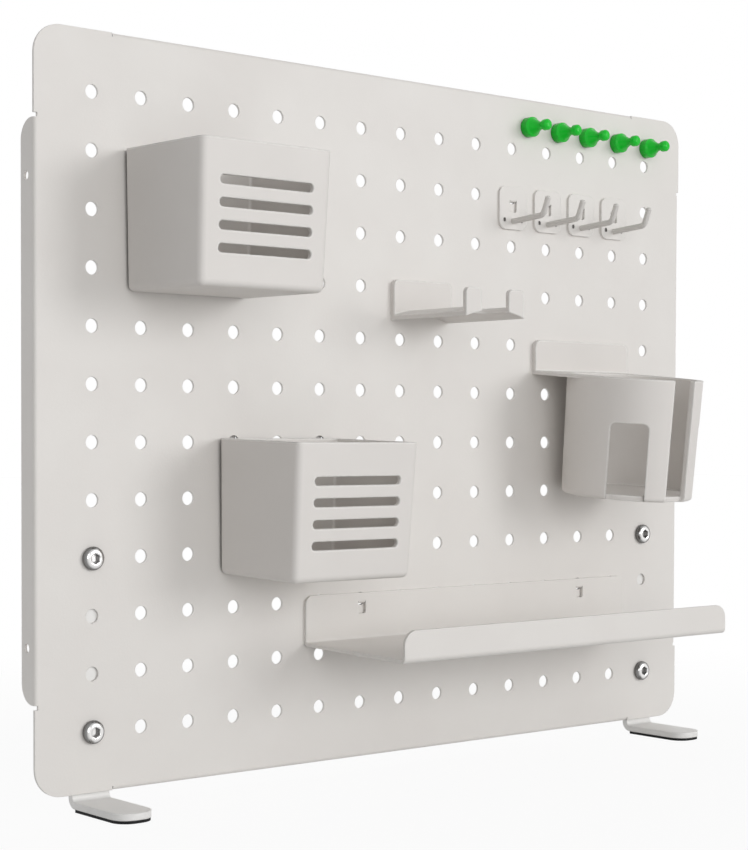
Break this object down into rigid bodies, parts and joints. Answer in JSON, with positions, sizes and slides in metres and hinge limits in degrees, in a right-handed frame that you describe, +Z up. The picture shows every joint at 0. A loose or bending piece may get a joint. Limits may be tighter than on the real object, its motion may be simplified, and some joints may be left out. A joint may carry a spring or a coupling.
{
  "type": "wall pegboard",
  "caption": "Perforated sheet-steel pegboard with folded edges on two bent desk feet, carrying bins, a cup holder, a headset rest, wire hooks, a tray and push-pin magnets.",
  "frame": {"origin": "middle of the bounding box's underside, on the surface that the foot pads stand on", "axes": "+X to the right along the board as seen from the front, +Y from the front to the back, +Z up"},
  "size_m": [0.413, 0.086, 0.3407],
  "materials": {
    "coated_steel": "fine matt powder coat",
    "foot_steel": "satin powder coat",
    "moulded_plastic": "satin",
    "green_plastic": "gloss",
    "bright_steel": "bright",
    "magnet": "nickel plated",
    "rubber": "matt"
  },
  "bodies": {
    "root": {"panel": "coated_steel", "left_foot": "foot_steel", "left_foot_pad": "rubber", "left_upper_screw": "bright_steel", "left_upper_nut": "bright_steel", "left_lower_screw": "bright_steel", "left_lower_nut": "bright_steel", "right_foot": "foot_steel", "right_foot_pad": "rubber", "right_upper_screw": "bright_steel", "right_upper_nut": "bright_steel", "right_lower_screw": "bright_steel", "right_lower_nut": "bright_steel", "upper_bin": "moulded_plastic", "lower_bin": "moulded_plastic", "headset_rest": "moulded_plastic", "cup_holder": "moulded_plastic", "tray": "coated_steel", "hook_plate_1": "coated_steel", "hook_wire_1": "coated_steel", "hook_plate_2": "coated_steel", "hook_wire_2": "coated_steel", "hook_plate_3": "coated_steel", "hook_wire_3": "coated_steel", "hook_plate_4": "coated_steel", "hook_wire_4": "coated_steel", "pin_grip_1": "green_plastic", "pin_magnet_1": "magnet", "pin_grip_2": "green_plastic", "pin_magnet_2": "magnet", "pin_grip_3": "green_plastic", "pin_magnet_3": "magnet", "pin_grip_4": "green_plastic", "pin_magnet_4": "magnet", "pin_grip_5": "green_plastic", "pin_magnet_5": "magnet"}
  },
  "joints": []
}
